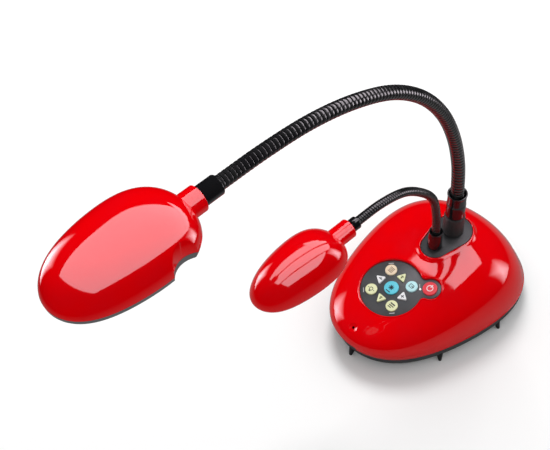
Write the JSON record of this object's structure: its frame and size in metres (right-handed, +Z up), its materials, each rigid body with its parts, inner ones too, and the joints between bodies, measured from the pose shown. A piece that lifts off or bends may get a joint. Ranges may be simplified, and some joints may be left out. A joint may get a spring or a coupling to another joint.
{
  "type": "document camera",
  "caption": "Table-top document camera: weighted egg-shaped base with a round keypad, a long gooseneck with a downward camera head and a short gooseneck with an oval lamp head.",
  "frame": {"origin": "on the table, under the middle of the object's box", "axes": "+Z up, +Y from the camera head to the back of the base, +X to the side of the power key and the finger notch"},
  "size_m": [0.1476, 0.5, 0.3794],
  "materials": {
    "gloss_red": "high gloss lacquered red plastic",
    "tray_black": "fine matte dark grey moulding",
    "gloss_black": "polished black",
    "neck_black": "black coated ribbed steel hose",
    "rubber_black": "dull black rubber",
    "cover_grey": "satin mid grey plastic",
    "keypad_grey": "satin dark grey overlay",
    "key_cyan": "satin cyan key",
    "key_pale_cyan": "satin pale cyan key",
    "key_cream": "satin cream key",
    "key_yellow": "satin pale yellow key",
    "key_white": "satin white key",
    "key_red": "satin red key with a white power sign",
    "steel": "plain zinc plated steel",
    "board_green": "solder masked circuit board",
    "lens_glass": "coated lens glass",
    "diffuser_white": "milky white diffuser"
  },
  "bodies": {
    "base": {"base_shell": "gloss_red", "base_tray": "tray_black", "front_bay": "tray_black", "foot_1": "rubber_black", "foot_2": "rubber_black", "foot_3": "rubber_black", "foot_4": "rubber_black", "foot_5": "rubber_black", "ballast_plate": "steel", "main_board": "board_green", "power_jack": "gloss_black", "usb_port": "steel", "video_port": "steel", "mic_capsule": "steel", "keypad_panel": "keypad_grey", "keypad_board": "board_green", "power_led": "diffuser_white", "arm_plate": "tray_black", "arm_sleeve": "rubber_black", "arm_collar": "gloss_black", "lamp_collar": "gloss_black", "neck_link_1": "neck_black", "lamp_link_1": "neck_black"},
    "neck_2": {"neck_link_2": "neck_black"},
    "neck_3": {"neck_link_3": "neck_black"},
    "neck_4": {"neck_link_4": "neck_black"},
    "neck_5": {"neck_link_5": "neck_black"},
    "neck_6": {"neck_link_6": "neck_black"},
    "neck_7": {"neck_link_7": "neck_black"},
    "neck_8": {"neck_link_8": "neck_black"},
    "neck_9": {"neck_link_9": "neck_black", "head_ferrule": "gloss_black"},
    "head": {"head_shell": "gloss_red", "head_cover": "cover_grey", "lens_barrel": "gloss_black", "lens_glass": "lens_glass", "sensor_board": "board_green", "head_screw_1": "steel", "head_screw_2": "steel"},
    "focus": {"focus_ring": "rubber_black"},
    "lamp_neck_2": {"lamp_link_2": "neck_black"},
    "lamp_neck_3": {"lamp_link_3": "neck_black"},
    "lamp_neck_4": {"lamp_link_4": "neck_black"},
    "lamp_neck_5": {"lamp_link_5": "neck_black"},
    "lamp_neck_6": {"lamp_link_6": "neck_black", "lamp_ferrule": "gloss_black"},
    "lamp": {"lamp_shell": "gloss_red", "lamp_bezel": "tray_black", "lamp_diffuser": "diffuser_white", "led_board": "board_green"},
    "key_centre": {"key_centre": "key_cyan"},
    "key_source": {"key_source": "key_pale_cyan"},
    "key_menu": {"key_menu": "key_cream"},
    "key_lamp": {"key_lamp": "key_yellow"},
    "key_auto": {"key_auto": "key_yellow"},
    "key_right": {"key_right": "key_white"},
    "key_up": {"key_up": "key_yellow"},
    "key_left": {"key_left": "key_white"},
    "key_down": {"key_down": "key_yellow"},
    "key_power": {"key_power": "key_red"}
  },
  "joints": [
    {"name": "neck_low_bend", "type": "hinge", "parent": "base", "child": "neck_2", "pos_m": [0, 0.17898, 0.16876], "axis": [1, 0, 0], "range_deg": [-10, 6]},
    {"name": "neck_side_bend", "type": "hinge", "parent": "neck_2", "child": "neck_3", "pos_m": [0, 0.1671, 0.21367], "axis": [0, 0.9415, 0.3371], "range_deg": [-12, 12]},
    {"name": "neck_low_bend_2", "type": "hinge", "parent": "neck_3", "child": "neck_4", "pos_m": [0, 0.14776, 0.25594], "axis": [1, 0, 0], "range_deg": [-10, 6]},
    {"name": "neck_low_bend_3", "type": "hinge", "parent": "neck_4", "child": "neck_5", "pos_m": [0, 0.12026, 0.29339], "axis": [1, 0, 0], "range_deg": [-10, 6]},
    {"name": "neck_side_bend_2", "type": "hinge", "parent": "neck_5", "child": "neck_6", "pos_m": [0, 0.08476, 0.32319], "axis": [0, 0.5355, 0.8445], "range_deg": [-12, 12]},
    {"name": "neck_high_bend", "type": "hinge", "parent": "neck_6", "child": "neck_7", "pos_m": [0, 0.04257, 0.34265], "axis": [1, 0, 0], "range_deg": [-15, 12]},
    {"name": "neck_side_bend_3", "type": "hinge", "parent": "neck_7", "child": "neck_8", "pos_m": [0, -0.00255, 0.35354], "axis": [0, 0.1476, 0.989], "range_deg": [-12, 12]},
    {"name": "neck_high_bend_2", "type": "hinge", "parent": "neck_8", "child": "neck_9", "pos_m": [0, -0.04899, 0.35632], "axis": [1, 0, 0], "range_deg": [-15, 12]},
    {"name": "head_swivel", "type": "hinge", "parent": "neck_9", "child": "head", "pos_m": [0, -0.1127, 0.3539], "axis": [0, 0.9988, 0.0489], "range_deg": [-90, 90]},
    {"name": "focus_turn", "type": "hinge", "parent": "head", "child": "focus", "pos_m": [0, -0.17194, 0.33899], "axis": [0, -0.0489, 0.9988], "range_deg": [-60, 60]},
    {"name": "lamp_bend", "type": "hinge", "parent": "base", "child": "lamp_neck_2", "pos_m": [0, 0.1568, 0.11797], "axis": [1, 0, 0], "range_deg": [-8, 8]},
    {"name": "lamp_side_bend", "type": "hinge", "parent": "lamp_neck_2", "child": "lamp_neck_3", "pos_m": [0, 0.14916, 0.14539], "axis": [0, 0.8923, 0.4514], "range_deg": [-15, 15]},
    {"name": "lamp_bend_2", "type": "hinge", "parent": "lamp_neck_3", "child": "lamp_neck_4", "pos_m": [0, 0.13155, 0.16787], "axis": [1, 0, 0], "range_deg": [-8, 8]},
    {"name": "lamp_side_bend_2", "type": "hinge", "parent": "lamp_neck_4", "child": "lamp_neck_5", "pos_m": [0, 0.10897, 0.18521], "axis": [0, 0.4374, 0.8993], "range_deg": [-15, 15]},
    {"name": "lamp_bend_3", "type": "hinge", "parent": "lamp_neck_5", "child": "lamp_neck_6", "pos_m": [0, 0.08141, 0.19226], "axis": [1, 0, 0], "range_deg": [-8, 8]},
    {"name": "lamp_swivel", "type": "hinge", "parent": "lamp_neck_6", "child": "lamp", "pos_m": [0, 0.0448, 0.1912], "axis": [0, 0.9981, 0.061], "range_deg": [-90, 90]},
    {"name": "press_centre", "type": "slide", "parent": "base", "child": "key_centre", "axis": [0, -0.2334, 0.9724], "range_m": [-0.001, 0], "stiffness_N_per_m": 500, "springref_m": 0.0004},
    {"name": "press_source", "type": "slide", "parent": "base", "child": "key_source", "axis": [0, -0.2334, 0.9724], "range_m": [-0.001, 0], "stiffness_N_per_m": 500, "springref_m": 0.0004},
    {"name": "press_menu", "type": "slide", "parent": "base", "child": "key_menu", "axis": [0, -0.2334, 0.9724], "range_m": [-0.001, 0], "stiffness_N_per_m": 500, "springref_m": 0.0004},
    {"name": "press_lamp", "type": "slide", "parent": "base", "child": "key_lamp", "axis": [0, -0.2334, 0.9724], "range_m": [-0.001, 0], "stiffness_N_per_m": 500, "springref_m": 0.0004},
    {"name": "press_auto", "type": "slide", "parent": "base", "child": "key_auto", "axis": [0, -0.2334, 0.9724], "range_m": [-0.001, 0], "stiffness_N_per_m": 500, "springref_m": 0.0004},
    {"name": "press_right", "type": "slide", "parent": "base", "child": "key_right", "axis": [0, -0.2334, 0.9724], "range_m": [-0.001, 0], "stiffness_N_per_m": 500, "springref_m": 0.0004},
    {"name": "press_up", "type": "slide", "parent": "base", "child": "key_up", "axis": [0, -0.2334, 0.9724], "range_m": [-0.001, 0], "stiffness_N_per_m": 500, "springref_m": 0.0004},
    {"name": "press_left", "type": "slide", "parent": "base", "child": "key_left", "axis": [0, -0.2334, 0.9724], "range_m": [-0.001, 0], "stiffness_N_per_m": 500, "springref_m": 0.0004},
    {"name": "press_down", "type": "slide", "parent": "base", "child": "key_down", "axis": [0, -0.2334, 0.9724], "range_m": [-0.001, 0], "stiffness_N_per_m": 500, "springref_m": 0.0004},
    {"name": "press_power", "type": "slide", "parent": "base", "child": "key_power", "axis": [0, -0.2334, 0.9724], "range_m": [-0.001, 0], "stiffness_N_per_m": 500, "springref_m": 0.0004}
  ],
  "couplings": [
    {"joint": "neck_low_bend_2", "follows": "neck_low_bend", "ratio": 1},
    {"joint": "neck_low_bend_3", "follows": "neck_low_bend", "ratio": 1},
    {"joint": "neck_side_bend_2", "follows": "neck_side_bend", "ratio": 1},
    {"joint": "neck_side_bend_3", "follows": "neck_side_bend", "ratio": 1},
    {"joint": "neck_high_bend_2", "follows": "neck_high_bend", "ratio": 1},
    {"joint": "lamp_bend_2", "follows": "lamp_bend", "ratio": 1},
    {"joint": "lamp_side_bend_2", "follows": "lamp_side_bend", "ratio": 1},
    {"joint": "lamp_bend_3", "follows": "lamp_bend", "ratio": 1}
  ]
}
